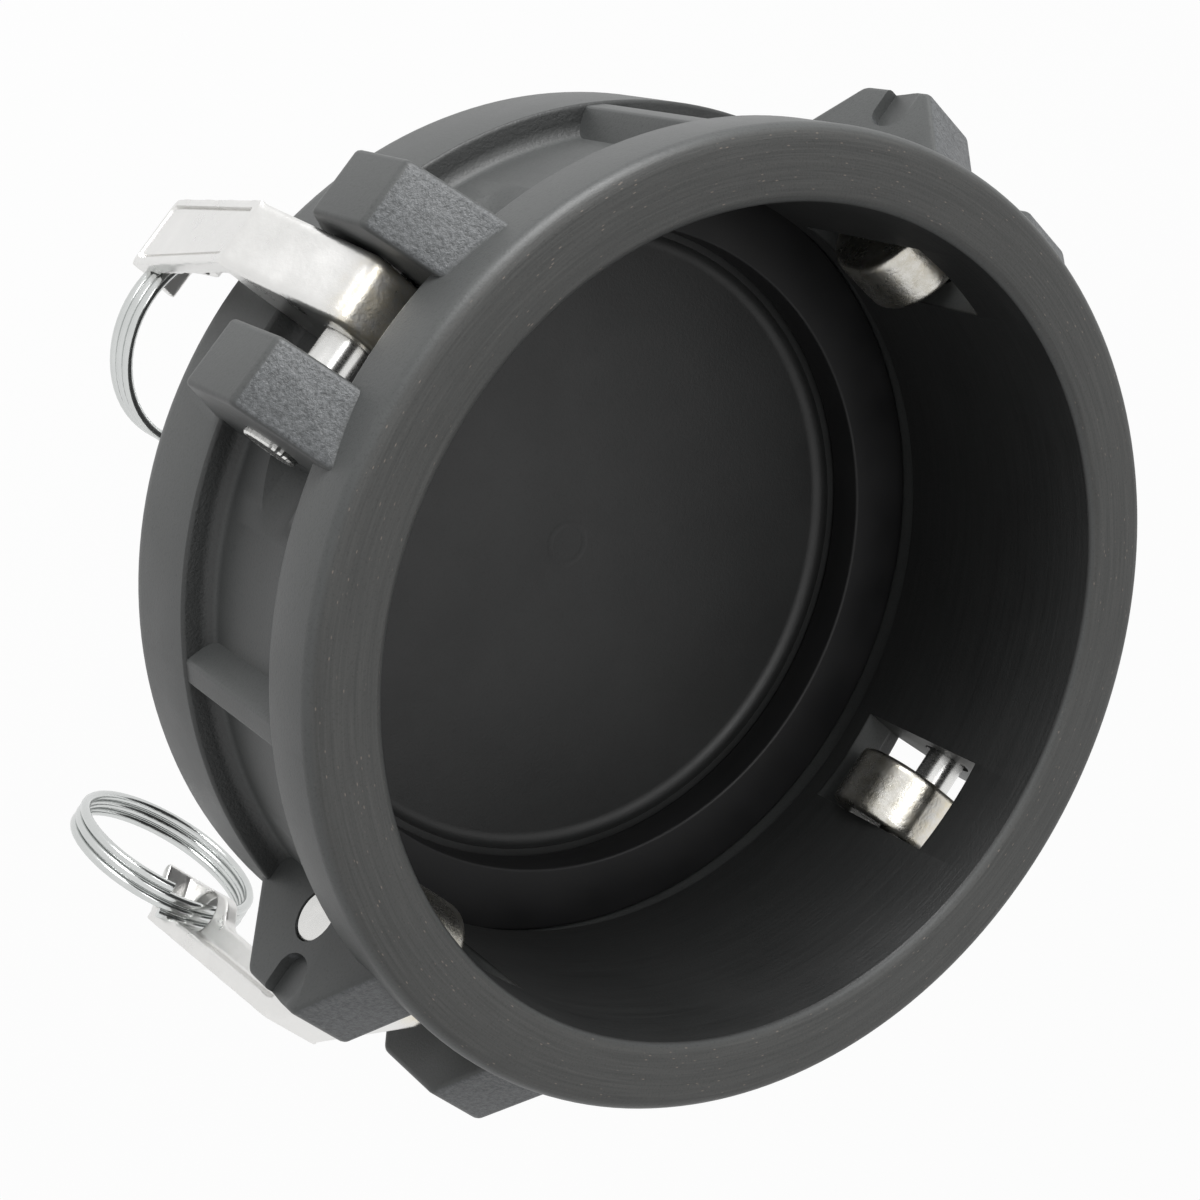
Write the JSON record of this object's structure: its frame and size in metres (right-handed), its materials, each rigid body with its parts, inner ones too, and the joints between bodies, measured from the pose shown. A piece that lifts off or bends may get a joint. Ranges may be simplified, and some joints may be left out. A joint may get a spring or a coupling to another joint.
{
  "type": "camlock dust cap",
  "caption": "Moulded camlock dust cap: a flanged cup with a seated gasket and cam arms on pins between ears, each arm with a pull ring.",
  "frame": {"origin": "on the cup's axis in the plane of the gasket's sealing face, where the end of the adapter that holds the cap meets it", "axes": "+Z along the cup's axis, out of the mouth; +X through one arm and +Y through the next"},
  "size_m": [0.1684, 0.1649, 0.1088],
  "materials": {
    "moulded_polypropylene": "glass-filled, moulded grain with turned faces",
    "gasket_rubber": "matt",
    "cast_stainless": "tumbled casting",
    "pin_stainless": "drawn, knurled at one end",
    "ring_stainless": "bright drawn wire"
  },
  "bodies": {
    "cup": {"body": "moulded_polypropylene", "gasket": "gasket_rubber", "pin_a": "pin_stainless", "pin_b": "pin_stainless", "pin_c": "pin_stainless", "pin_d": "pin_stainless"},
    "lever_a": {"arm_a": "cast_stainless"},
    "loop_a": {"ring_a": "ring_stainless"},
    "lever_b": {"arm_b": "cast_stainless"},
    "loop_b": {"ring_b": "ring_stainless"},
    "lever_c": {"arm_c": "cast_stainless"},
    "loop_c": {"ring_c": "ring_stainless"},
    "lever_d": {"arm_d": "cast_stainless"},
    "loop_d": {"ring_d": "ring_stainless"}
  },
  "joints": [
    {"name": "arm_a_pivot", "type": "hinge", "parent": "cup", "child": "lever_a", "pos_m": [0.067, 0, 0.0212], "axis": [0, -1, 0], "range_deg": [-3, 106]},
    {"name": "ring_a_swing", "type": "hinge", "parent": "lever_a", "child": "loop_a", "pos_m": [0.07083, 0, -0.03004], "axis": [0, 1, 0], "range_deg": [-36, 89]},
    {"name": "arm_b_pivot", "type": "hinge", "parent": "cup", "child": "lever_b", "pos_m": [0.0026, 0.067, 0.0212], "axis": [1, 0, 0], "range_deg": [-2.4, 106.6]},
    {"name": "ring_b_swing", "type": "hinge", "parent": "lever_b", "child": "loop_b", "pos_m": [0.00084, 0.0703, -0.03005], "axis": [-0.9994, 0.004, 0.0347], "range_deg": [-24, 29]},
    {"name": "arm_c_pivot", "type": "hinge", "parent": "cup", "child": "lever_c", "pos_m": [-0.067, 0.0028, 0.0212], "axis": [0, 1, 0], "range_deg": [-14.3, 94.7]},
    {"name": "ring_c_swing", "type": "hinge", "parent": "lever_c", "child": "loop_c", "pos_m": [-0.0808, 0.0028, -0.0283], "axis": [0, -1, 0], "range_deg": [-44, 81]},
    {"name": "arm_d_pivot", "type": "hinge", "parent": "cup", "child": "lever_d", "pos_m": [-0.0025, -0.067, 0.0212], "axis": [-1, 0, 0], "range_deg": [-9, 100]},
    {"name": "ring_d_swing", "type": "hinge", "parent": "lever_d", "child": "loop_d", "pos_m": [-0.0025, -0.07617, -0.02936], "axis": [1, 0, 0], "range_deg": [-30, 95]}
  ]
}
